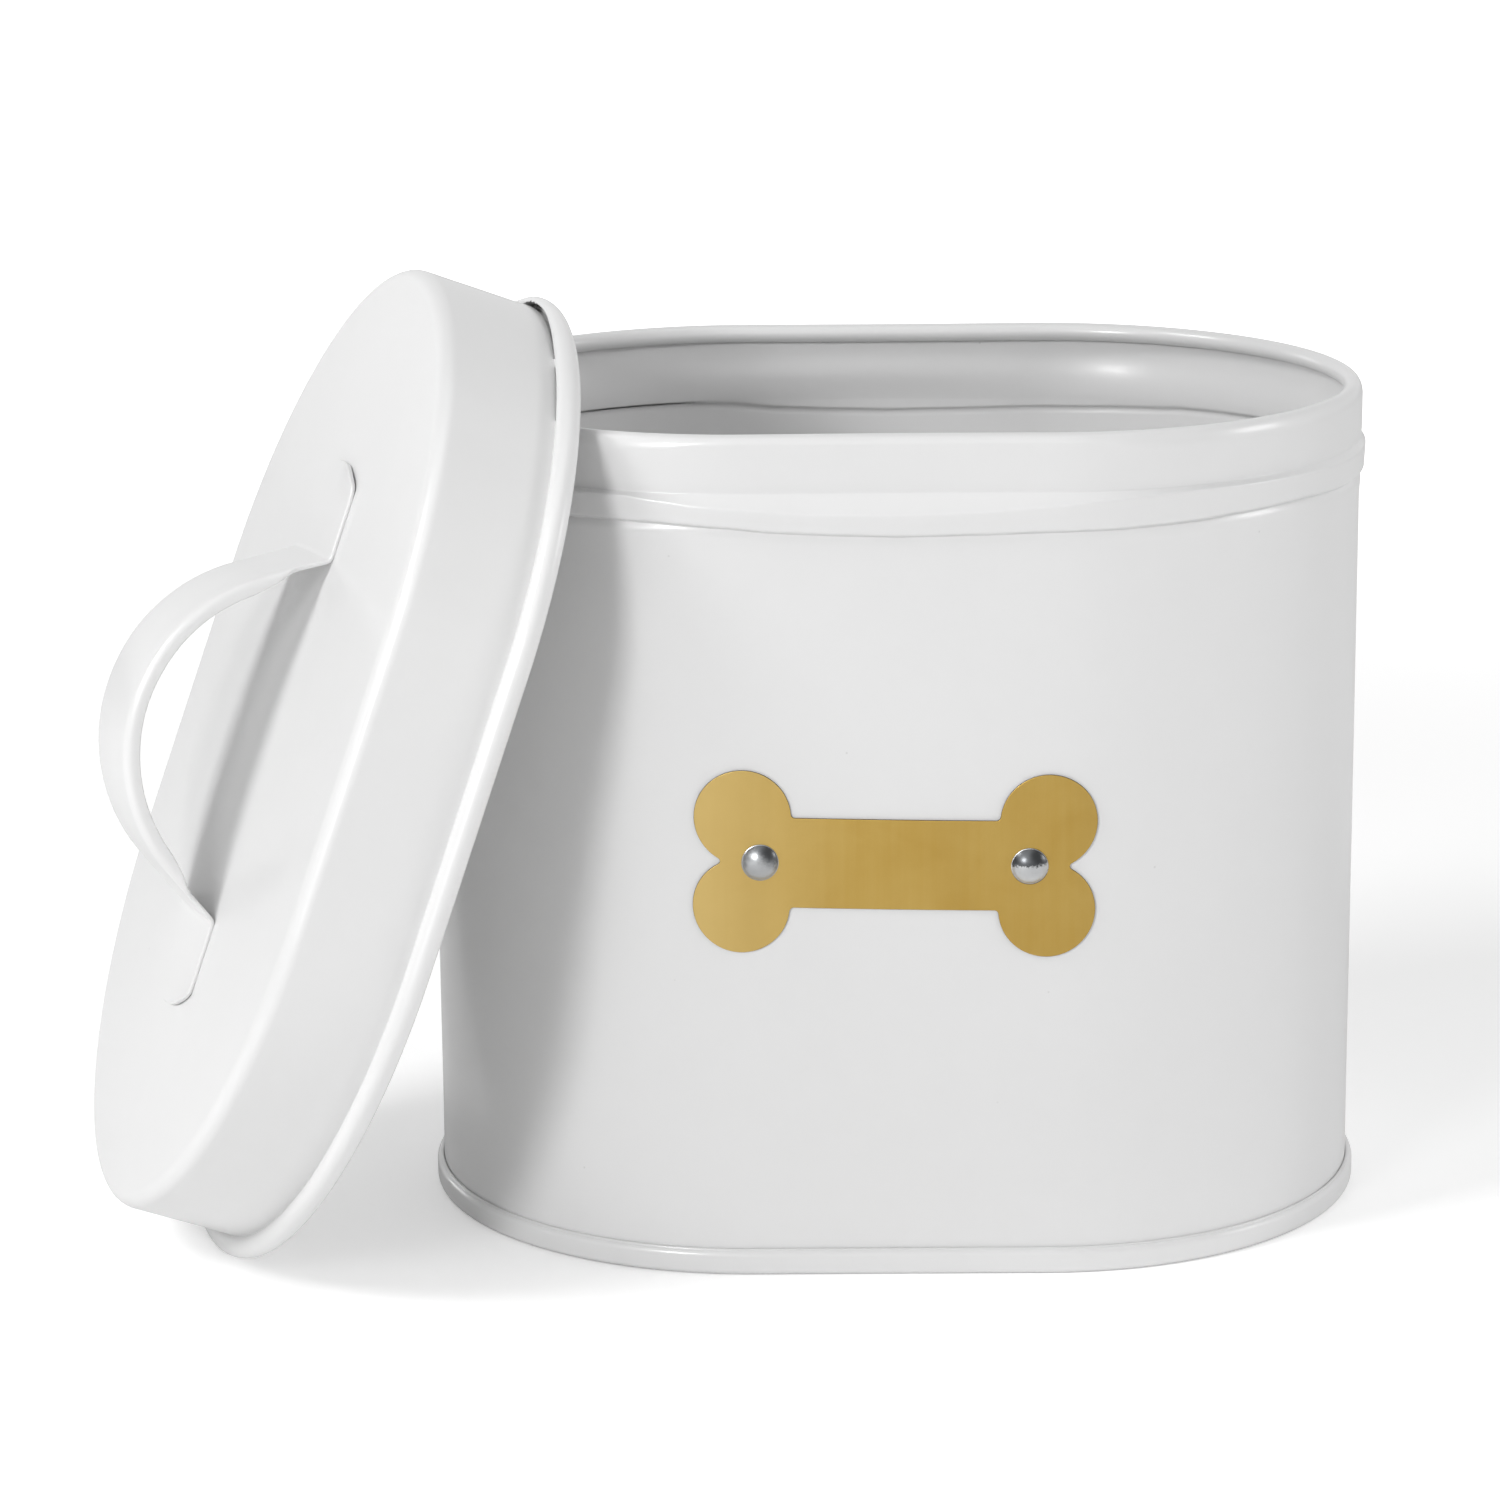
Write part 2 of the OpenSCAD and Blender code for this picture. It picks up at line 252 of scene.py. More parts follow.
# ---------------------------------------------------------------- base
def pan_profile():
    i0 = -SHEET - 0.06                                    # inner fold face
    P = [(0.06, 6.75)]
    P += [(0.28, 6.98), (0.62, 6.99), (1.02, 6.86)]
    P += arc(PROUD - 1.9, 4.9, 1.9, 62, 0, 8)
    P += [(PROUD, 4.0), (PROUD, 3.0), (PROUD, 2.2)]
    P += arc(PROUD - 1.5, 1.5, 1.5, -4, -90, 9)
    P += [(-0.2, 0.0), (-0.9, 0.06), (-1.45, 0.42), (-1.72, 1.0), (-1.78, 1.7), (-1.9, 2.4), (-2.3, 2.95), (-3.0, 3.3), (-4.2, 3.48), (-6.0, 3.52)]
    under_end = len(P)
    return P, i0

def build_pan():
    P, i0 = pan_profile()
    # underside continues as concentric rings towards the middle, then the top side comes back out
    verts, faces = [], []
    ins = [-10, -16, -24, -34, -46, -58, -70, -80]
    under = P + [(o, 3.55 + 0.25 * smooth((-o - 6) / 60)) for o in ins]
    top = [(o, 4.35 + 0.25 * smooth((-o - 6) / 60)) for o in reversed(ins)] + [(-6.0, 4.34), (-4.2, 4.36), (-3.0, 4.55), (-2.3, 4.95), (-1.95, 5.6), (-1.8, 6.2), (-1.72, 6.8), (-1.5, 7.05), (-1.15, 7.08), (-0.9, 6.9), (-0.86, 6.3), (-0.86, 1.4), (0.05, 1.4), (0.05, 6.3)]
    prof = under + top
    m = len(prof)
    rows = []
    for st in STATIONS:
        cx, nx, ny = st
        row = []
        for off, z in prof:
            rr = R + off
            k = clamp((rr) / R)
            x = cx * (1 if off > -60 else clamp((R + off) / (R - 60), 0, 1)) + rr * nx
            row.append(((x) * MM, (rr * ny) * MM, z * MM))
        rows.append(row)
    for r_ in rows:
        verts.extend(r_)
    n = len(rows)
    mid = len(under) - 1
    for i in range(n):
        j = (i + 1) % n
        for k in range(m):
            if k == mid:
                continue
            k2 = (k + 1) % m
            faces.append((i * m + k, j * m + k, j * m + k2, i * m + k2))
    # close the two middles
    cu = len(verts); verts.append((0, 0, 3.8 * MM)); ct = len(verts); verts.append((0, 0, 4.6 * MM))
    for i in range(n):
        j = (i + 1) % n
        faces.append((i * m + mid, j * m + mid, cu))
        faces.append((i * m + mid + 1, ct, j * m + mid + 1))
    ob = new_mesh("base_panel", verts, faces)
    weighted(ob)
    return ob

pan = build_pan()
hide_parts("base_pan"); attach(pan, "bin")

# ---------------------------------------------------------------- front face helper for the plate
def front_y(x, z, off=0.0):
    """y of the body's front face (outer) at x, z, on the flat or bowed part, in mm."""
    ax = abs(x)
    if ax <= S:
        y = R + off
    else:
        y = math.sqrt(max((R + off) ** 2 - (ax - S) ** 2, 0))
    w = side_weight(x, HALF)
    if ax > S:
        w *= clamp(math.sqrt(max(1 - ((ax - S) / R) ** 2, 0)))
    y += BODY_BULGE * smooth((z - 4) / 45.0) * w
    y += body_wave(x, -y, z)
    return -y

# ---------------------------------------------------------------- bone plate
def bone_outline():
    """Closed outline in x, z about the plate's middle, with small fillets where the lobes meet the bar and each other."""
    px, pz, r, hb = 39.3, 11.7, 12.5, 11.9
    f, nf = 1.1, 0.9
    fx = px - math.sqrt((r + f) ** 2 - (hb + f - pz) ** 2)       # fillet centre beside the bar
    vx = px + math.sqrt((r + nf) ** 2 - pz ** 2)                 # fillet centre in the notch between two lobes
    q1 = arc(vx, 0.0, nf, 180.0, math.degrees(math.atan2(pz, px - vx)), 5)
    q1 += arc(px, pz, r, math.degrees(math.atan2(-pz, vx - px)), math.degrees(math.atan2(hb + f - pz, fx - px)), 44)
    q1 += arc(fx, hb + f, f, math.degrees(math.atan2(pz - hb - f, px - fx)), -90.0, 6)
    q2 = [(-x, z) for x, z in reversed(q1)]
    q3 = [(-x, -z) for x, z in q1]
    q4 = [(x, -z) for x, z in reversed(q1)]
    out = []
    for p in q1 + q2 + q3 + q4:
        if not out or math.hypot(p[0] - out[-1][0], p[1] - out[-1][1]) > 0.02:
            out.append(p)
    while math.hypot(out[0][0] - out[-1][0], out[0][1] - out[-1][1]) < 0.02:
        out.pop()
    return out

PLATE_T = 0.6
def build_plate():
    loop = bone_outline()
    bm = bmesh.new()
    vs = [bm.verts.new((x, 0.0, z)) for x, z in loop]
    face = bm.faces.new(vs)
    r = bmesh.ops.extrude_face_region(bm, geom=[face])
    top = [g for g in r["geom"] if isinstance(g, bmesh.types.BMVert)]
    for v in top:
        v.co.y -= PLATE_T
    bm.normal_update()
    rim = [e for e in bm.edges if len(e.link_faces) == 2 and
           abs(e.verts[0].co.y - e.verts[1].co.y) < 1e-6 and e.verts[0].co.y < -PLATE_T * 0.5 and
           any(len(f.verts) == 4 for f in e.link_faces) and any(len(f.verts) > 8 for f in e.link_faces)]
    bmesh.ops.bevel(bm, geom=rim, offset=0.14, segments=2, profile=0.6, affect='EDGES')
    for i in range(-17, 18):
        x = i * 3.0
        g = bm.verts[:] + bm.edges[:] + bm.faces[:]
        bmesh.ops.bisect_plane(bm, geom=g, plane_co=(x, 0, 0), plane_no=(1, 0, 0), dist=1e-4)
    for i in (-6, -3, 0, 3, 6):
        g = bm.verts[:] + bm.edges[:] + bm.faces[:]
        bmesh.ops.bisect_plane(bm, geom=g, plane_co=(0, 0, i * 3.2 + 0.01), plane_no=(0, 0, 1), dist=1e-4)
    for v in bm.verts:
        x, t, z = v.co.x, -v.co.y, v.co.z
        # the plate sits tight at the rivets and lifts a hair at its far lobes
        lift = 0.10 * smooth((abs(x) - RX) / 17.0) + 0.04
        gx = PX + x * math.cos(TILT) - z * math.sin(TILT)
        gz = PZ + x * math.sin(TILT) + z * math.cos(TILT)
        y = front_y(gx, gz, lift + t)
        v.co = Vector((gx * MM, y * MM, gz * MM))
    bmesh.ops.recalc_face_normals(bm, faces=bm.faces)
    me = bpy.data.meshes.new("bone_sheet")
    bm.to_mesh(me); bm.free()
    ob = bpy.data.objects.new("bone_sheet", me)
    bpy.context.scene.collection.objects.link(ob)
    for p in me.polygons:
        p.use_smooth = True
    weighted(ob)
    return ob

plate = build_plate()
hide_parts("bone_plate"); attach(plate, "bin")

# ---------------------------------------------------------------- rivets and washers
def lathe(name, prof, place, n=72, wob=None):
    """prof: (radius, distance along the axis) in mm, closed on the axis at both ends."""
    verts, faces = [], []
    m = len(prof)
    inner = prof[1:-1]
    k = len(inner)
    for i in range(n):
        a = 2 * math.pi * i / n
        for r_, t in inner:
            rr, tt = (r_, t) if wob is None else wob(r_, t, a)
            verts.append(place(rr * math.cos(a), rr * math.sin(a), tt))
    c0 = len(verts); verts.append(place(0, 0, prof[0][1]))
    c1 = len(verts); verts.append(place(0, 0, prof[-1][1]))
    for i in range(n):
        j = (i + 1) % n
        for q in range(k - 1):
            faces.append((i * k + q, j * k + q, j * k + q + 1, i * k + q + 1))
        faces.append((c0, j * k, i * k))
        faces.append((c1, i * k + k - 1, j * k + k - 1))
    ob = new_mesh(name, verts, faces)
    return ob

def build_rivet(name, sx, seed):
    x0, z0 = RIVET_AT[sx]
    y_face = front_y(x0, z0, 0.04 + PLATE_T + 0.02)
    y_in = front_y(x0, z0, -SHEET)
    hr, hh = RIV, 2.25
    ball = (hr * hr + hh * hh) / (2 * hh)
    prof = [(0.0, hh)]
    a_max = math.acos((ball - hh) / ball)
    for i in range(1, 22):
        a = a_max * i / 22
        prof.append((ball * math.sin(a), ball * math.cos(a) - (ball - hh)))
    prof += [(hr - 0.02, 0.22), (hr, 0.12), (hr - 0.05, 0.03), (hr - 0.2, 0.0), (2.2, 0.0), (2.05, -0.05)]
    span = (y_in - y_face)                               # positive, through plate and wall
    tail = span + 1.06
    prof += [(2.05, -tail + 0.0), (3.15, -tail - 0.02), (3.3, -tail - 0.2), (3.3, -tail - 0.8), (3.05, -tail - 1.25), (2.4, -tail - 1.45), (1.2, -tail - 1.5), (0.0, -tail - 1.5)]
    def place(u, v, t):
        return ((x0 + u) * MM, (y_face - t) * MM, (z0 + v) * MM)
    def wob(r_, t, a):
        if t > 0.15:
            d = noise.noise(Vector((math.cos(a) * r_ * 0.45 + seed, math.sin(a) * r_ * 0.45, t * 0.3)))
            t = t + 0.035 * d * smooth(r_ / 1.5)
        return r_, t
    return lathe(name, prof, place, 80, wob)

def build_washer(name, sx, seed):
    x0, z0 = RIVET_AT[sx]
    y_in = front_y(x0, z0, -SHEET)
    rin, rout = 2.15, 4.5
    sec = [(rin, 0.02), (rin, 0.9), (rin + 0.12, 1.0), (rout - 0.22, 1.0), (rout - 0.06, 0.93), (rout, 0.78), (rout, 0.2), (rout - 0.08, 0.04), (rout - 0.2, 0.02)]
    n = 64
    verts, faces = [], []
    m = len(sec)
    for i in range(n):
        a = 2 * math.pi * i / n
        for r_, t in sec:
            verts.append(((x0 + r_ * math.cos(a)) * MM, (y_in + t) * MM, (z0 + r_ * math.sin(a)) * MM))
    for i in range(n):
        j = (i + 1) % n
        for q in range(m):
            q2 = (q + 1) % m
            faces.append((i * m + q, j * m + q, j * m + q2, i * m + q2))
    ob = new_mesh(name, verts, faces)
    weighted(ob)
    return ob

rivets = []
for nm, sx, sd in (("left", -1, 2.3), ("right", 1, 9.1)):
    o = build_rivet("rivet_dome_" + nm, sx, sd)
    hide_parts("rivet_" + nm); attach(o, "bin"); rivets.append(o)
    o = build_washer("backing_washer_" + nm, sx, sd)
    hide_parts("washer_" + nm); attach(o, "bin"); rivets.append(o)

# ---------------------------------------------------------------- lid, in its own frame and then carried to where it leans
LEAN = Euler((math.radians(-14.67), math.radians(-67.78), math.radians(32.38)), 'XYZ').to_matrix().to_4x4()
LID_M = Matrix.Translation(Vector((-167.81, -48.07, 137.49))) @ LEAN

def lid_co(x, y, z):
    p = LID_M @ Vector((x, y, z))
    return (p.x * MM, p.y * MM, p.z * MM)

SKIRT = 4.0
DEPTH = 37.0
EDGE = 4.0
ROLL = 3.1
L_ARC, L_SIDE = ((140, 64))

def lid_stations():
    """Plan stations, closer together where the rolled edge stands open at the upper end."""
    base = plan_samples(L_ARC, L_SIDE)
    out, a0, a1 = [], -48.0, 8.0
    fine = int((a1 - a0) / (0.28))
    done = False
    for cx, nx, ny in base:
        a = math.degrees(math.atan2(ny, nx))
        if cx > S - 1e-6 and a0 - 0.3 < a < a1 + 0.3 and nx > 0:
            if not done:
                for i in range(fine + 1):
                    g = math.radians(lerp(a0, a1, i / fine))
                    out.append((S, math.cos(g), math.sin(g)))
                done = True
            continue
        out.append((cx, nx, ny))
    return out

L_STATIONS = lid_stations()

def lid_wave(x, y, z):
    return 0.16 * noise.noise(Vector((x * 0.010 + 11.0, y * 0.012, z * 0.02 + 4.0)))

def plan_angle(st):
    """Angle of a station round its end, in degrees; None on the straight sides and the lower end."""
    cx, nx, ny = st
    return math.degrees(math.atan2(ny, nx)) if cx > S - 1e-6 and nx > -1e-6 else None

def table_at(rows, x):
    if x <= rows[0][0]:
        return rows[0][1]
    for (a, u), (b, v) in zip(rows, rows[1:]):
        if x <= b:
            return lerp(u, v, (x - a) / (b - a))
    return rows[-1][1]

# the rolled edge is squeezed at the upper end: reach of the roll against the plan angle
REACH = [(-44, 9.4), (-36, 9.32), (-28, 9.0), (-20, 8.4), (-10, 7.55), (0, 6.95), (8, 6.4), (20, 6.4), (32, 7.2), (44, 8.6), (54, 9.4)]

def roll_shape(st):
    """(roll radius, gap width, how far the gap stands open 0..1, bare steel at the tear and painted shade along the
    open slit 0..1).
    """
    a = plan_angle(st)
    if a is None:
        return ROLL, 0.0, 0.0, 0.0
    r = (table_at(REACH, a) - (SKIRT - SHEET)) / 2
    jag = noise.noise(Vector((a * 0.9, 3.0, 1.0))) + 0.6 * noise.noise(Vector((a * 2.7, 8.0, 1.0)))
    gap = table_at([(-46, 0.0), (-44.6, 0.72), (-40, 0.92), (-33.6, 0.74), (-33.0, 0.25), (-32.4, 0.0), (-30.4, 0.0), (-29.9, 0.35),
                    (-29.2, 0.62), (-24, 1.15), (-14, 1.50), (-6, 1.35), (-2, 1.15), (1.0, 0.8), (3.0, 0.25), (4.5, 0.0)], a)
    near_tear = smooth((7 - abs(a + 1)) / 5)
    gap = max(gap * (1 + 0.5 * jag * near_tear), 0.0)
    q = smooth(gap / 0.45)
    # bare steel at the tear; elsewhere in the open slit a fifth of the mark is painted shade
    return r, gap, q, max(0.20 * q, near_tear * q)

def lid_profile(st):
    """(offset, z, bare steel and painted slit shade) from the top panel over the edge, down the skirt, round the roll
    and back inside.
    """
    o, e = SKIRT, EDGE
    r, gap, q, bare_and_slit_shade = roll_shape(st)
    zc = -DEPTH + r
    cx = o - SHEET + r
    P = [(-44, 0.16, 0), (-34, 0.15, 0), (-24, 0.13, 0), (-16, 0.11, 0), (-10, 0.08, 0), (-6, 0.05, 0), (-3, 0.02, 0)]
    P += [(a, b, 0) for a, b in arc(o - e, -e, e, 90, 0, 12)]
    z_t = zc + math.sqrt(max(r * r - (cx - o) ** 2, 0))   # where a closed roll meets the skirt
    for i in range(1, 12):
        P.append((o, lerp(-e, z_t + 2.2, i / 11), 0))
    g = max(gap, 0.30)
    dep = lerp(0.05, min(2.4, r), q)
    P += [(o + lerp(0.03, 0.0, q), z_t + lerp(0.95, 0.42, q), 0),
          (o + lerp(0.06, -0.02, q), z_t + lerp(0.72, 0.22, q), 0),
          (o + lerp(0.09, -0.12, q), z_t + lerp(0.55, 0.12, q), bare_and_slit_shade * 0.3),
          (o + lerp(0.12, -0.42, q), z_t + lerp(0.44, 0.05, q), bare_and_slit_shade * 0.6),
          (o + lerp(0.17, -0.46, q), z_t + lerp(0.34, -dep, q), bare_and_slit_shade),
          (o + lerp(0.27, g, q), z_t + lerp(0.28, -dep, q), bare_and_slit_shade),
          (o + lerp(0.40, g, q), z_t + lerp(0.32, lerp(0.0, 0.3, smooth(gap)), q), bare_and_slit_shade * 0.35)]
    lx = clamp((cx - o - g - lerp(0.12, 0.28, q)) / r, -1, 1)
    a_end = math.degrees(math.acos(-lx))
    P += [(a, b, 0) for a, b in arc(cx, zc, r, a_end, -180, 34)]
    for i in range(1, 10):
        P.append((o - SHEET, lerp(zc, -e, i / 9), 0))
    P += [(a, b, 0) for a, b in arc(o - e, -e, e - SHEET, 8, 90, 9)]
    P += [(x, z, 0) for x, z in ((-3, -SHEET + 0.02), (-6, -SHEET + 0.05), (-10, -SHEET + 0.08), (-16, -SHEET + 0.11), (-24, -SHEET + 0.13), (-34, -SHEET + 0.15), (-44, -SHEET + 0.16))]
    return P

def build_lid():
    rows, bare_and_slit_shade = [], []
    for st in L_STATIONS:
        cx, nx, ny = st
        row = []
        for off, z, bv in lid_profile(st):
            bare_and_slit_shade.append(bv)
            rr = R + off
            x, y = cx + rr * nx, rr * ny
            d = lid_wave(x, y, z)
            fe = smooth((-off - 4) / 30)                  # panel moves up and down, skirt in and out
            sk = smooth((-z - 6) / 12) * (1 - fe)
            z2 = z + d * 1.2 * fe
            row.append(lid_co(x + d * nx * sk, y + d * ny * sk, z2))
        rows.append(row)
    verts, faces = [], []
    for r_ in rows:
        verts.extend(r_)
    n, m = len(rows), len(rows[0])
    for i in range(n):
        j = (i + 1) % n
        for k in range(m - 1):
            faces.append((i * m + k, j * m + k, j * m + k + 1, i * m + k + 1))
    # the middle of the panel, top and under side: shrink the inner ring to the middle line
    def cap(k0, dz, flip):
        prev = [i * m + k0 for i in range(n)]
        base_r = R - 44
        for t in (0.72, 0.45, 0.2):
            cur = []
            for i, st in enumerate(L_STATIONS):
                cx, nx, ny = st
                rr = base_r * t
                x, y = cx + rr * nx, rr * ny
                z = dz + 0.17 + lid_wave(x, y, 0) * 1.2
                cur.append(len(verts)); verts.append(lid_co(x, y, z))
            for i in range(n):
                j = (i + 1) % n
                f = (prev[i], prev[j], cur[j], cur[i])
                faces.append(f if not flip else tuple(reversed(f)))
            prev = cur
        # spine: a line of points between the two arc centres
        spine = {}
        for i, st in enumerate(L_STATIONS):
            cx = st[0]
            key = round(cx, 4)
            if key not in spine:
                spine[key] = len(verts)
                verts.append(lid_co(cx, 0, dz + 0.17 + lid_wave(cx, 0, 0) * 1.2))
        for i in range(n):
            j = (i + 1) % n
            a, b = spine[round(L_STATIONS[i][0], 4)], spine[round(L_STATIONS[j][0], 4)]
            f = (prev[i], prev[j], b, a) if a != b else (prev[i], prev[j], a)
            faces.append(f if not flip else tuple(reversed(f)))
    cap(0, 0.0, True)
    cap(m - 1, -SHEET, False)
    ob = new_mesh("lid_sheet", verts, faces, bare_and_slit_shade=bare_and_slit_shade + [0.0] * (len(verts) - len(bare_and_slit_shade)))
    weighted(ob)
    return ob

lid = build_lid()
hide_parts("lid_shell"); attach(lid, "lid")

# ---------------------------------------------------------------- strap handle
ST_W, ST_T = 37.0, 1.2
SPAN, RISE, AR = 98.8, 38.3, 47.0

def strap_path():
    """Half centre line from the middle of the arch to the foot's tip: (x, z), lid top at 0."""
    h = ST_T / 2
    c = RISE - h - AR
    d = math.hypot(SPAN / 2, c)
    t = math.sqrt(d * d - AR * AR)
    a = math.degrees(math.asin(AR / d))
    back = math.degrees(math.atan2(c, -SPAN / 2))
    dr = back - a + 360
    px = SPAN / 2 + t * math.cos(math.radians(dr))
    pz = t * math.sin(math.radians(dr))
    ta = math.degrees(math.atan2(pz - c, px))
    P = []
    n = 40
    for i in range(n + 1):
        g = math.radians(90 - (90 - ta) * i / n)
        P.append((AR * math.cos(g), c + AR * math.sin(g)))
    # bend of inner radius 1.6 between leg and foot
    leg = math.radians(180 - dr)                          # slope of the leg, about 58 degrees
    rb = 2.2
    tl = rb * math.tan(leg / 2)
    bx, bz = SPAN / 2, 0.0
    s0 = (bx - tl * math.cos(leg), tl * math.sin(leg))
    for i in range(1, 6):
        P.append((lerp(px, s0[0], i / 6), lerp(pz, s0[1], i / 6)))
    ccx, ccz = bx + tl, rb
    for i in range(0, 9):
        g = math.radians(-90) - leg * (1 - i / 8)
        P.append((ccx + rb * math.cos(g), ccz + rb * math.sin(g)))
    x_end = 75.0
    xs_ = [54.0, 57, 60, 63, 65.5, 67.5, 69.0, 70.2, 71.2, 72.1, 72.9, 73.6, 74.15, 74.55, 74.82, 74.96]
    for x in xs_:
        if x > ccx + 0.5:
            P.append((x, 0.0))
    return [(x, z + h) for x, z in P]

def strap_width(x):
    """Width of the strap at plan position x: straight, then a shallow rounded end with soft corners."""
    ax = abs(x)
    er = 34.0
    cxx = 75.0 - er
    w = 2 * math.sqrt(max(er * er - max(ax - cxx, 0) ** 2, 0.0))
    k = 3.0
    a, b = ST_W, w                                        # smooth minimum
    hh = clamp(0.5 + 0.5 * (b - a) / k)
    return max(lerp(b, a, hh) - k * hh * (1 - hh) * 0.9, 0.8)

def panel_rise(x, y):
    """Height of the lid's panel over its edge at x, y."""
    return 0.16 + lid_wave(x, y, 0.0) * 1.2

def build_strap():
    half = strap_path()
    path = [(-x, z) for x, z in reversed(half[1:])] + half
    n = len(path)
    rows = []
    for i, (x, z) in enumerate(path):
        a, b = path[max(i - 1, 0)], path[min(i + 1, n - 1)]
        tx, tz = b[0] - a[0], b[1] - a[1]
        l = math.hypot(tx, tz); tx, tz = tx / l, tz / l
        nx, nz = -tz, tx                                  # outward from the arch
        if nz < 0 and abs(x) > 55:
            nx, nz = -nx, -nz
        # turned-down edge: full over the arch, none on the feet
        fl = 3.1 * smooth((z - 5.0) / 15.0)
        tip = smooth((abs(x) - 65) / 9.0)                 # a foot's tip stands off the lid a little
        w = strap_width(x) - 0.35 * (1 - smooth((z - 2) / 12.0))
        t = ST_T
        h = t / 2
        rm = lerp(0.30, 1.55, smooth(fl / 2.2))           # radius of the turned edge, at mid thickness
        rm = min(rm, w / 2 - 0.05)
        yw = w / 2 - h if fl > 0.01 else w / 2 - h * 0.6
        # mid path from the middle to one side, as (y, drop, normal y, normal n)
        mid = []
        for k in range(0, 9):
            y = (yw - rm) * k / 8
            crown = 0.45 * smooth((z - 4) / 20) * (1 - (y / (w / 2)) ** 2)   # strap is slightly crowned
            mid.append((y, crown, 0.0, 1.0))
        for k in range(1, 8):
            g = math.radians(90 * k / 7)
            turn = g * smooth(fl / 1.6)
            mid.append((yw - rm + rm * math.sin(turn) if fl > 0.01 else yw - rm + rm * k / 7,
                        -rm * (1 - math.cos(turn)), math.sin(turn), math.cos(turn)))
        ly, ln, sy, cn = mid[-1]
        drop = max(fl - rm, 0.0)
        for k in range(1, 4):
            mid.append((ly + cn * 0.02 * k, ln - drop * k / 3 - 0.001 * k, sy, cn))
        outer = [(y + ny_ * h, d + nn_ * h) for y, d, ny_, nn_ in mid]
        inner = [(y - ny_ * h, d - nn_ * h) for y, d, ny_, nn_ in mid]
        ey, en, sy, cn = mid[-1]
        # round the free edge
        tipp = []
        for k in range(1, 6):
            g = math.radians(90 - 180 * k / 6)
            # from the outer face round to the inner face
            ux, un = sy, cn                               # outer direction
            vx, vn = cn, -sy                              # along the sheet, outwards past the edge
            tipp.append((ey + h * (math.sin(g) * ux + math.cos(g) * vx * 0.8),
                         en + h * (math.sin(g) * un + math.cos(g) * vn * 0.8)))
        side = outer + tipp + list(reversed(inner))
        # full loop: right side then mirrored left side
        loop = side + [(-y, d) for y, d in reversed(side[:-1])][0:]
        loop = loop[:-1]
        row = []
        for y, d in loop:
            wv = 0.12 * noise.noise(Vector((x * 0.05, y * 0.05, 2.0))) * smooth((z - 3) / 5)
            near = smooth((-y - 2) / 13.0)
            lift = (0.75 * near if x > 0 else 0.12 + 0.30 * near) * tip - 0.10 * (1 - tip) + panel_rise(x, y)
            row.append(lid_co(x + nx * (d + wv), y, z + lift + nz * (d + wv)))
        rows.append(row)
    verts, faces = [], []
    for r_ in rows:
        verts.extend(r_)
    m = len(rows[0])
    for i in range(n - 1):
        for k in range(m):
            k2 = (k + 1) % m
            faces.append((i * m + k, (i + 1) * m + k, (i + 1) * m + k2, i * m + k2))
    faces.append(tuple(reversed(range(m))))
    faces.append(tuple((n - 1) * m + k for k in range(m)))
    ob = new_mesh("strap_handle", verts, faces)
    weighted(ob)
    return ob

strap = build_strap()
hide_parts("lid_handle"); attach(strap, "lid")

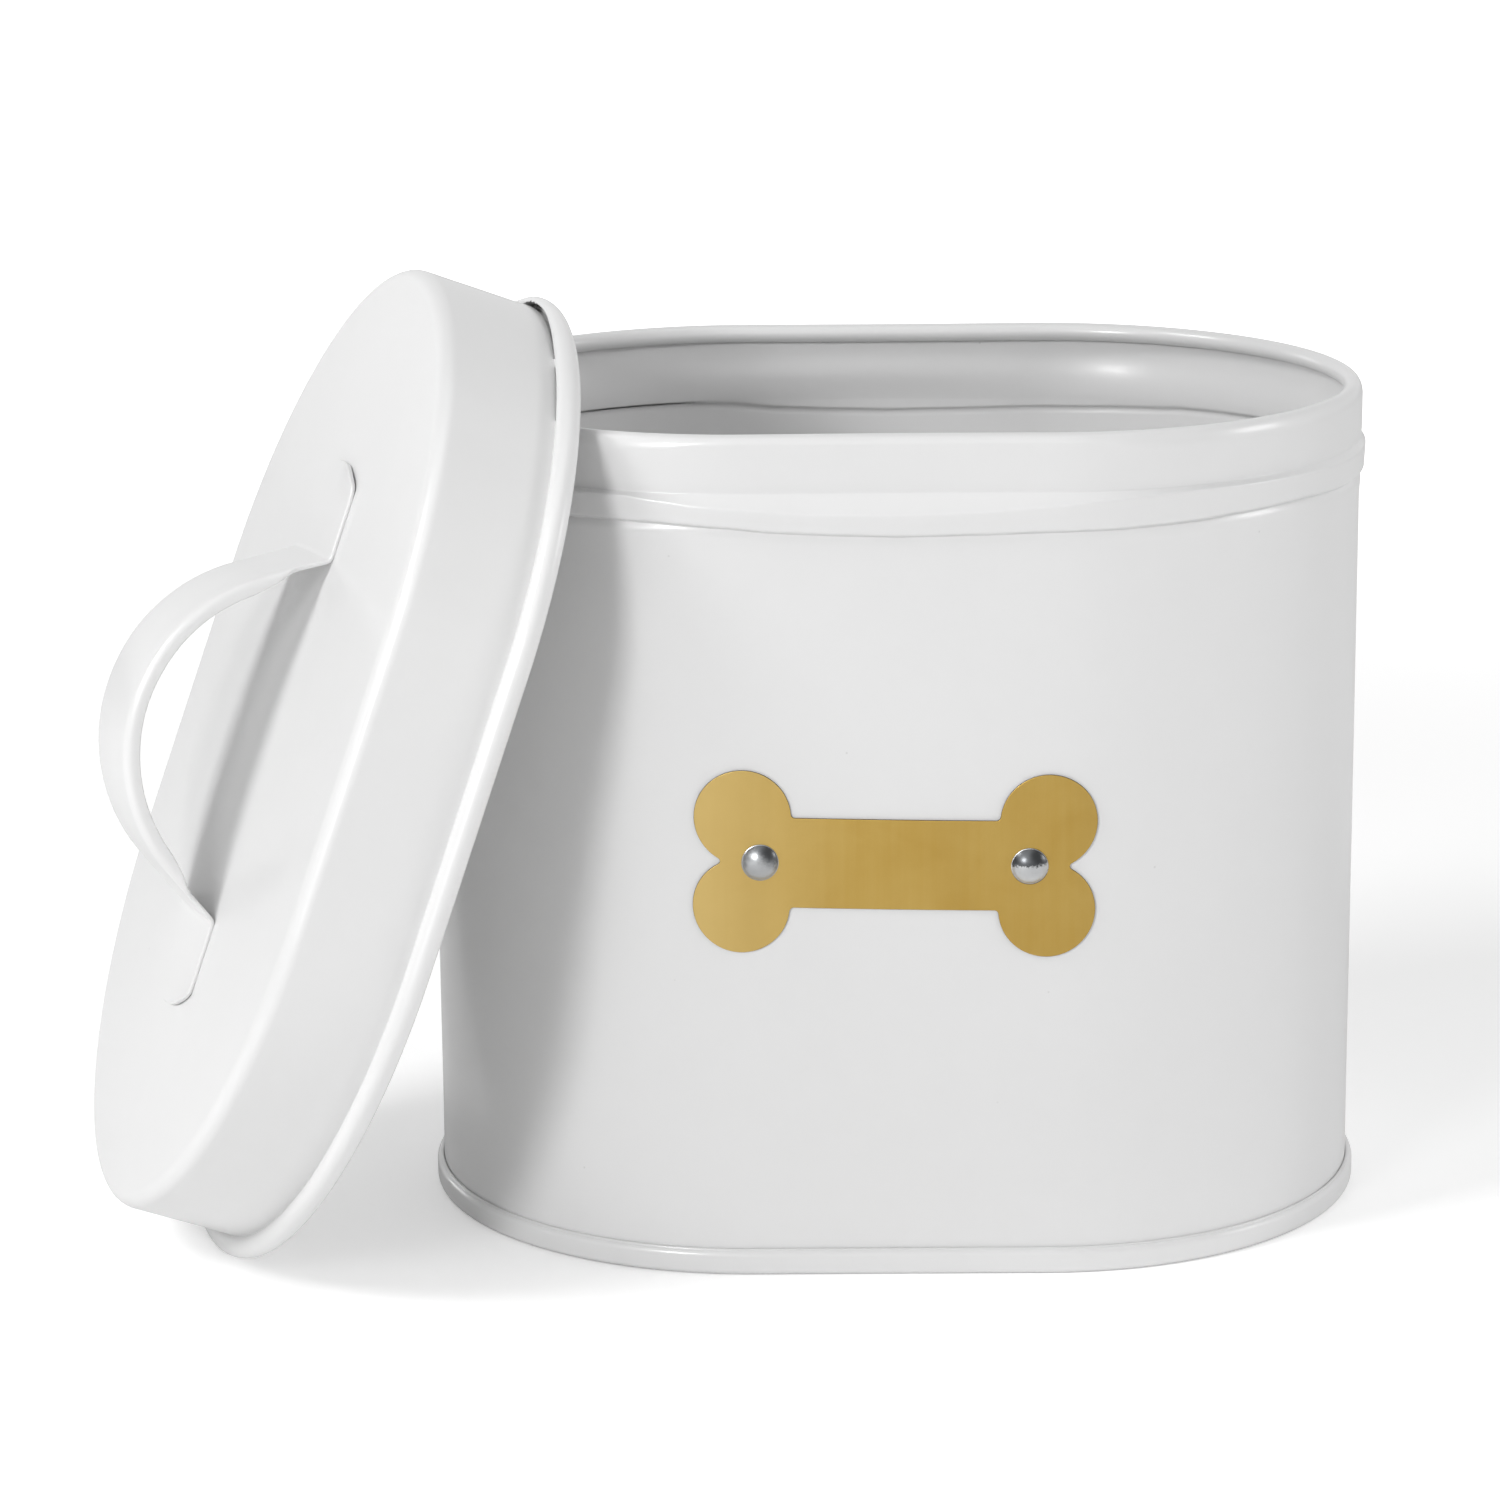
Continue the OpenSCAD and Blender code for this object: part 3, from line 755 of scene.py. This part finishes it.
# ---------------------------------------------------------------- materials
class Nodes:
    """A thin helper for building a node tree."""
    def __init__(self, tree):
        self.t = tree
        tree.nodes.clear()
    def n(self, kind, **kw):
        nd = self.t.nodes.new(kind)
        for k, v in kw.items():
            if k.startswith("i_"):
                key = k[2:]
                nd.inputs[int(key) if key.isdigit() else key.replace("_", " ")].default_value = v
            else:
                setattr(nd, k, v)
        return nd
    def l(self, a, b):
        self.t.links.new(a, b)
    def math(self, op, a, b=None, c=None, cl=False):
        nd = self.t.nodes.new("ShaderNodeMath"); nd.operation = op; nd.use_clamp = cl
        for i, v in enumerate((a, b, c)):
            if v is None:
                continue
            if isinstance(v, (int, float)):
                nd.inputs[i].default_value = v
            else:
                self.l(v, nd.inputs[i])
        return nd.outputs[0]
    def vmul(self, v, xyz):
        nd = self.t.nodes.new("ShaderNodeVectorMath"); nd.operation = "MULTIPLY"
        self.l(v, nd.inputs[0]); nd.inputs[1].default_value = xyz
        return nd.outputs[0]
    def dot(self, v, xyz):
        nd = self.t.nodes.new("ShaderNodeVectorMath"); nd.operation = "DOT_PRODUCT"
        self.l(v, nd.inputs[0]); nd.inputs[1].default_value = xyz
        return nd.outputs["Value"]
    def noise(self, vec, scale, detail=2.0, rough=0.5, dist=0.0):
        nd = self.t.nodes.new("ShaderNodeTexNoise")
        self.l(vec, nd.inputs["Vector"])
        nd.inputs["Scale"].default_value = scale
        nd.inputs["Detail"].default_value = detail
        nd.inputs["Roughness"].default_value = rough
        nd.inputs["Distortion"].default_value = dist
        return nd.outputs["Fac"]
    def remap(self, v, a, b, c, d, kind="LINEAR"):
        nd = self.t.nodes.new("ShaderNodeMapRange"); nd.interpolation_type = kind
        self.l(v, nd.inputs["Value"])
        for key, val in (("From Min", a), ("From Max", b), ("To Min", c), ("To Max", d)):
            nd.inputs[key].default_value = val
        return nd.outputs["Result"]
    def mix(self, fac, a, b, kind="MIX"):
        nd = self.t.nodes.new("ShaderNodeMix"); nd.data_type = "RGBA"; nd.blend_type = kind
        if isinstance(fac, (int, float)):
            nd.inputs["Factor"].default_value = fac
        else:
            self.l(fac, nd.inputs["Factor"])
        for sock, v in ((nd.inputs[6], a), (nd.inputs[7], b)):
            if isinstance(v, (tuple, list)):
                sock.default_value = tuple(v) + (1.0,) if len(v) == 3 else v
            else:
                self.l(v, sock)
        return nd.outputs[2]
    def bump(self, height, distance, strength=1.0, normal=None):
        nd = self.t.nodes.new("ShaderNodeBump")
        nd.inputs["Strength"].default_value = strength
        nd.inputs["Distance"].default_value = distance
        self.l(height, nd.inputs["Height"])
        if normal is not None:
            self.l(normal, nd.inputs["Normal"])
        return nd.outputs["Normal"]

def new_material(name):
    mat = bpy.data.materials.new(name)
    mat.use_nodes = True
    g = Nodes(mat.node_tree)
    out = g.n("ShaderNodeOutputMaterial")
    bs = g.n("ShaderNodeBsdfPrincipled")
    g.l(bs.outputs[0], out.inputs[0])
    return mat, g, bs

def paint(name, base, shade, tint=0.0):
    """Glossy white coat on sheet steel: orange peel, faint waviness, thin coat at edges, painted shade in creases."""
    mat, g, bs = new_material(name)
    co = g.n("ShaderNodeTexCoord").outputs["Object"]
    geo = g.n("ShaderNodeNewGeometry")
    broad = g.noise(co, 9.0 + tint, 1.0, 0.5)
    mott = g.noise(co, 85.0, 3.0, 0.55)
    fine = g.noise(co, 520.0, 1.0, 0.5)
    c = g.mix(g.remap(broad, 0.3, 0.7, 0.0, 1.0), base, shade)
    c = g.mix(g.remap(mott, 0.30, 0.75, 0.0, 0.10), c, tuple(x * 0.93 for x in shade))
    pt = geo.outputs["Pointiness"]
    edge = g.remap(pt, 0.52, 0.58, 0.0, 1.0)
    crease_shade = g.remap(pt, 0.480, 0.42, 0.0, 1.0)
    worn = g.math("MULTIPLY", edge, g.remap(mott, 0.42, 0.62, 0.0, 1.0))
    c = g.mix(g.math("MULTIPLY", worn, 0.08), c, (0.62, 0.62, 0.61))
    # painted shade: the coat is darker where the surface is concave
    c = g.mix(g.math("MULTIPLY", crease_shade, 0.20), c, (0.42, 0.42, 0.41))
    # tiny inclusions in the coat
    vo = g.n("ShaderNodeTexVoronoi", feature="F1"); g.l(co, vo.inputs["Vector"]); vo.inputs["Scale"].default_value = 75.0
    sep = g.n("ShaderNodeSeparateColor"); g.l(vo.outputs["Color"], sep.inputs[0])
    speck = g.remap(vo.outputs["Distance"], 0.030, 0.012, 0.0, 1.0)
    dot = g.math("MULTIPLY", speck, g.math("GREATER_THAN", sep.outputs[0], 0.62))
    c = g.mix(g.math("MULTIPLY", dot, 0.30), c, (0.40, 0.39, 0.38))
    # dark bare steel at the tear, and painted shade inside the open slit
    bare_and_slit_shade = g.n("ShaderNodeAttribute", attribute_name="bare_and_slit_shade").outputs["Fac"]
    c = g.mix(bare_and_slit_shade, c, (0.055, 0.052, 0.050))
    g.l(c, bs.inputs["Base Color"])
    g.l(g.math("MULTIPLY", bare_and_slit_shade, 0.6), bs.inputs["Metallic"])
    ro = g.math("ADD", g.remap(g.noise(co, 30.0, 2.0, 0.6), 0.25, 0.75, 0.285, 0.325), g.math("MULTIPLY", worn, 0.10))
    g.l(ro, bs.inputs["Roughness"])
    bs.inputs["IOR"].default_value = 1.5
    bs.inputs["Coat Weight"].default_value = 0.34
    bs.inputs["Coat Roughness"].default_value = 0.13
    h1 = g.bump(fine, 0.000004, 1.0)
    h2 = g.bump(g.noise(co, 170.0, 1.0, 0.5), 0.000008, 1.0, h1)
    h3 = g.bump(g.noise(co, 24.0, 1.0, 0.4), 0.00007, 1.0, h2)
    h4 = g.bump(dot, 0.00002, 0.4, h3)
    g.l(h4, bs.inputs["Normal"]); g.l(h3, bs.inputs["Coat Normal"])
    return mat

COAT = paint("white_coat", (0.768, 0.768, 0.768), (0.752, 0.752, 0.753))
COAT_LID = paint("white_coat_lid", (0.795, 0.795, 0.793), (0.780, 0.780, 0.780), 2.0)

def brass(name):
    """Satin gold plate: soft vertical drag lines, mottled sheen, painted shade on the cut edge, a painted highlight
    toward the left end.
    """
    mat, g, bs = new_material(name)
    co = g.n("ShaderNodeTexCoord").outputs["Object"]
    geo = g.n("ShaderNodeNewGeometry")
    drag = g.noise(g.vmul(co, (1.0, 1.0, 0.035)), 520.0, 3.0, 0.6)
    bands = g.noise(g.vmul(co, (1.0, 1.0, 0.10)), 60.0, 2.0, 0.5)
    cloud = g.noise(co, 46.0, 3.0, 0.55, 0.4)
    grain = g.noise(co, 2600.0, 2.0, 0.6)
    c = g.mix(g.remap(cloud, 0.3, 0.7, 0.0, 1.0), (0.585, 0.395, 0.112), (0.525, 0.340, 0.084))
    c = g.mix(g.remap(bands, 0.35, 0.68, 0.0, 0.30), c, (0.485, 0.310, 0.074))
    c = g.mix(g.remap(drag, 0.35, 0.75, 0.0, 0.10), c, (0.74, 0.56, 0.22))
    c = g.mix(g.remap(grain, 0.3, 0.8, 0.0, 0.12), c, (0.42, 0.28, 0.07))
    # painted highlight: the plate's colour turns lighter toward its left end
    sx = g.n("ShaderNodeSeparateXYZ"); g.l(co, sx.inputs[0])
    c = g.mix(g.remap(sx.outputs[0], -0.012, -0.050, 0.0, 0.42), c, (0.74, 0.575, 0.26))
    # painted shade: faces turned away from the front, the plate's cut edge, are made nearly black
    facing = g.dot(geo.outputs["True Normal"], (0.0, -1.0, 0.0))
    cut_edge_shade = g.remap(facing, 0.93, 0.70, 0.0, 1.0)
    c = g.mix(g.math("MULTIPLY", cut_edge_shade, 0.95), c, (0.070, 0.040, 0.010))
    g.l(c, bs.inputs["Base Color"])
    bs.inputs["Metallic"].default_value = 1.0
    ro = g.math("ADD", g.remap(cloud, 0.25, 0.75, 0.36, 0.46), g.remap(drag, 0.3, 0.8, -0.03, 0.05))
    g.l(ro, bs.inputs["Roughness"])
    bs.inputs["Anisotropic"].default_value = 0.25
    b1 = g.bump(grain, 0.000004, 0.7)
    b2 = g.bump(drag, 0.000010, 0.5, b1)
    b3 = g.bump(g.noise(co, 60.0, 1.0), 0.00004, 0.5, b2)
    g.l(b3, bs.inputs["Normal"])
    return mat

BRASS = brass("brass_plate")

def zinc(name):
    """Bright zinc-plated steel with fine scuffs."""
    mat, g, bs = new_material(name)
    co = g.n("ShaderNodeTexCoord").outputs["Object"]
    geo = g.n("ShaderNodeNewGeometry")
    cloud = g.noise(co, 220.0, 3.0, 0.55)
    scuff = g.noise(g.vmul(co, (0.5, 1.0, 3.0)), 900.0, 4.0, 0.7, 1.2)
    c = g.mix(g.remap(cloud, 0.3, 0.7, 0.0, 1.0), (0.66, 0.67, 0.68), (0.55, 0.56, 0.57))
    c = g.mix(g.remap(scuff, 0.58, 0.72, 0.0, 0.5), c, (0.82, 0.82, 0.82))
    c = g.mix(g.math("MULTIPLY", g.remap(geo.outputs["Pointiness"], 0.485, 0.44, 0.0, 1.0), 0.5), c, (0.16, 0.15, 0.14))
    # painted dark reflection, heavier on the upper half of each head, with a speckled border
    xyz = g.n("ShaderNodeSeparateXYZ"); g.l(co, xyz.inputs[0])
    right = g.math("GREATER_THAN", xyz.outputs[0], 0.0)
    edge_n = g.remap(g.noise(co, 1500.0, 3.0, 0.7), 0.3, 0.7, -0.10, 0.10)
    up_r = g.math("ADD", g.dot(geo.outputs["True Normal"], (-0.05, 0.0, 1.0)), edge_n)
    up_l = g.math("ADD", g.dot(geo.outputs["True Normal"], (0.55, 0.0, 0.80)), g.math("MULTIPLY", edge_n, 0.8))
    dark_reflection_r = g.remap(up_r, 0.02, 0.12, 0.0, 0.90, "SMOOTHSTEP")
    dark_reflection_l = g.remap(up_l, -0.10, 0.55, 0.0, 0.90, "SMOOTHSTEP")
    dark_reflection = g.math("ADD", g.math("MULTIPLY", dark_reflection_r, right), g.math("MULTIPLY", dark_reflection_l, g.math("SUBTRACT", 1.0, right)))
    c = g.mix(dark_reflection, c, (0.060, 0.064, 0.070))
    c = g.mix(g.math("MULTIPLY", g.math("SUBTRACT", 1.0, right), 0.30), c, (0.22, 0.23, 0.24))
    g.l(c, bs.inputs["Base Color"])
    bs.inputs["Metallic"].default_value = 1.0
    g.l(g.math("ADD", g.remap(cloud, 0.25, 0.75, 0.29, 0.36), g.remap(scuff, 0.55, 0.75, 0.0, 0.12)), bs.inputs["Roughness"])
    b1 = g.bump(scuff, 0.000008, 0.5)
    b2 = g.bump(g.noise(co, 330.0, 1.0), 0.00003, 0.5, b1)
    g.l(b2, bs.inputs["Normal"])
    return mat

ZINC = zinc("rivet_steel")

for ob, mat in [(wall, COAT), (pan, COAT), (plate, BRASS), (lid, COAT_LID), (strap, COAT_LID)] + [(o, ZINC) for o in rivets]:
    ob.data.materials.clear()
    ob.data.materials.append(mat)

# ---------------------------------------------------------------- floor, light, camera
FLOOR_GLOW = 0.29
def build_floor():
    half, n = 9.0, 24
    vs = [(lerp(-half, half, i / n), lerp(-half, half, j / n), 0.0) for j in range(n + 1) for i in range(n + 1)]
    fs = [(j * (n + 1) + i, j * (n + 1) + i + 1, (j + 1) * (n + 1) + i + 1, (j + 1) * (n + 1) + i) for j in range(n) for i in range(n)]
    ob = new_mesh("studio_floor", vs, fs)
    mat, g, bs = new_material("studio_floor")
    co = g.n("ShaderNodeTexCoord").outputs["Object"]
    g.l(g.mix(g.remap(g.noise(co, 3.0), 0.3, 0.7, 0.0, 1.0), (0.93, 0.93, 0.93), (0.95, 0.95, 0.95)), bs.inputs["Base Color"])
    bs.inputs["Roughness"].default_value = 0.9
    bs.inputs["Specular IOR Level"].default_value = 0.1
    bs.inputs["Emission Color"].default_value = (1, 1, 1, 1)
    lp = g.n("ShaderNodeLightPath")
    far = g.n("ShaderNodeVectorMath", operation="LENGTH"); g.l(co, far.inputs[0])
    glow = g.remap(far.outputs["Value"], 0.40, 1.60, FLOOR_GLOW, 1.0, "SMOOTHSTEP")
    g.l(g.math("MULTIPLY", lp.outputs["Is Camera Ray"], glow), bs.inputs["Emission Strength"])
    ob.data.materials.append(mat)
    return ob

floor = build_floor()

scene = bpy.context.scene
scene.view_settings.view_transform = "Standard"
scene.view_settings.look = "None"
scene.view_settings.exposure = 0.0
scene.view_settings.gamma = 1.0

# strengths of the soft surround, by direction
SKY = {"all": 0.16, "right": 0.70, "left": 0.05, "top": 0.0, "front": 0.18, "back": 0.70}
TOP_GLOSS = 1.2
LOBES = {"right": (0.95, -0.25, 0.15), "left": (-0.95, -0.20, 0.15), "top": (0.0, 0.0, 1.0), "front": (0.0, -0.95, 0.2), "back": (0.0, 0.95, 0.2)}

def build_world():
    w = bpy.data.worlds.new("studio")
    scene.world = w
    w.use_nodes = True
    g = Nodes(w.node_tree)
    out = g.n("ShaderNodeOutputWorld")
    lp = g.n("ShaderNodeLightPath")
    d = g.n("ShaderNodeTexCoord").outputs["Generated"]
    total = None
    for key in ("right", "left", "top", "front", "back"):
        lobe = g.remap(g.dot(d, Vector(LOBES[key]).normalized()), 0.25, 1.0, 0.0, SKY[key], "SMOOTHSTEP")
        total = lobe if total is None else g.math("ADD", total, lobe)
    soft = g.math("ADD", total, SKY["all"])
    # what polished parts see: a dark gap up to the right
    gap = g.remap(g.dot(d, Vector((0.62, -0.55, 0.56)).normalized()), 0.72, 0.93, 0.0, 0.85, "SMOOTHSTEP")
    over = g.remap(g.dot(d, Vector((0.0, -0.62, 0.78)).normalized()), 0.45, 0.95, 0.0, TOP_GLOSS, "SMOOTHSTEP")
    gl = g.math("MULTIPLY", g.math("ADD", soft, over), g.math("SUBTRACT", 1.0, gap))
    bg_d = g.n("ShaderNodeBackground"); g.l(soft, bg_d.inputs["Strength"])
    bg_g = g.n("ShaderNodeBackground"); g.l(gl, bg_g.inputs["Strength"])
    bg_c = g.n("ShaderNodeBackground", i_Strength=1.0)
    for b in (bg_d, bg_g, bg_c):
        b.inputs["Color"].default_value = (1.0, 1.0, 1.0, 1.0)
    m1 = g.n("ShaderNodeMixShader"); g.l(lp.outputs["Is Glossy Ray"], m1.inputs[0]); g.l(bg_d.outputs[0], m1.inputs[1]); g.l(bg_g.outputs[0], m1.inputs[2])
    m2 = g.n("ShaderNodeMixShader"); g.l(lp.outputs["Is Camera Ray"], m2.inputs[0]); g.l(m1.outputs[0], m2.inputs[1]); g.l(bg_c.outputs[0], m2.inputs[2])
    g.l(m2.outputs[0], out.inputs[0])

build_world()

def area(name, place, target, size, power):
    li = bpy.data.lights.new(name, "AREA")
    li.shape = "RECTANGLE"; li.size = size[0]; li.size_y = size[1]; li.energy = power
    ob = bpy.data.objects.new(name, li)
    scene.collection.objects.link(ob)
    ob.location = place
    ob.rotation_euler = (Vector(target) - Vector(place)).to_track_quat("-Z", "Y").to_euler()
    return ob

def from_side(az, el, dist, aim=(0.0, 0.0, 0.12)):
    """A place dist away from the aim; azimuth 0 is the camera's side and negative is to the left."""
    a, e = math.radians(az), math.radians(el)
    return Vector(aim) + dist * Vector((math.sin(a) * math.cos(e), -math.cos(a) * math.cos(e), math.sin(e)))

def lit_only(light, name, pieces):
    """The light reaches these pieces only; everything still casts its shadow."""
    col = bpy.data.collections.new(name)
    for p in pieces:
        col.objects.link(p)
    light.light_linking.receiver_collection = col
    return light

bin_parts = [wall, pan, plate] + rivets
lid_parts = [lid, strap]
area("key_soft", from_side(-28, 20, 1.9), (0.0, 0.0, 0.12), (0.40, 0.40), 5.0)
lit_only(area("key_bin", from_side(-29, 21, 1.9), (0.0, 0.0, 0.12), (0.30, 0.30), 7.8), "reach_key_bin", bin_parts)
lit_only(area("side_bin", from_side(-74, 42, 1.9), (0.0, 0.0, 0.12), (0.60, 0.60), 11.0), "reach_side_bin", bin_parts)
lit_only(area("side_lid", from_side(-60, 33, 1.9), (0.0, 0.0, 0.12), (0.56, 0.56), 18.5), "reach_side_lid", lid_parts + [floor])
lit_only(area("rear_bin", from_side(-128, 8, 1.9), (0.0, 0.0, 0.12), (0.50, 0.50), 3.0), "reach_rear_bin", bin_parts)
low = area("low_lid", from_side(48, -12, 1.9), (0.0, 0.0, 0.12), (0.60, 0.60), 2.6)
lit_only(low, "reach_low_lid", lid_parts)
low.light_linking.blocker_collection = bpy.data.collections["reach_low_lid"]
area("right_soft", from_side(80, 20, 1.9), (0.0, 0.0, 0.12), (0.50, 0.50), 5.0)

def build_camera():
    pos = Vector((-25.77, -1330.65, 461.56)) * MM
    yaw, pitch, roll = -0.0100, 0.2515, 0.0089
    F = Vector((math.sin(yaw) * math.cos(pitch), math.cos(yaw) * math.cos(pitch), -math.sin(pitch)))
    X = Vector((math.cos(yaw), -math.sin(yaw), 0.0))
    U = Vector((math.sin(yaw) * math.sin(pitch), math.cos(yaw) * math.sin(pitch), math.cos(pitch)))
    rt = X * math.cos(roll) - U * math.sin(roll)
    up = X * math.sin(roll) + U * math.cos(roll)
    cam = bpy.data.cameras.new("camera")
    cam.sensor_width = 36.0
    cam.lens = 5032.0 * 36.0 / 1500.0
    cam.clip_start = 0.05
    cam.clip_end = 60.0
    ob = bpy.data.objects.new("camera", cam)
    scene.collection.objects.link(ob)
    m = Matrix((( rt.x, up.x, -F.x, pos.x), (rt.y, up.y, -F.y, pos.y), (rt.z, up.z, -F.z, pos.z), (0, 0, 0, 1)))
    ob.matrix_world = m
    scene.camera = ob
    return ob

build_camera()

bpy.context.view_layer.update()
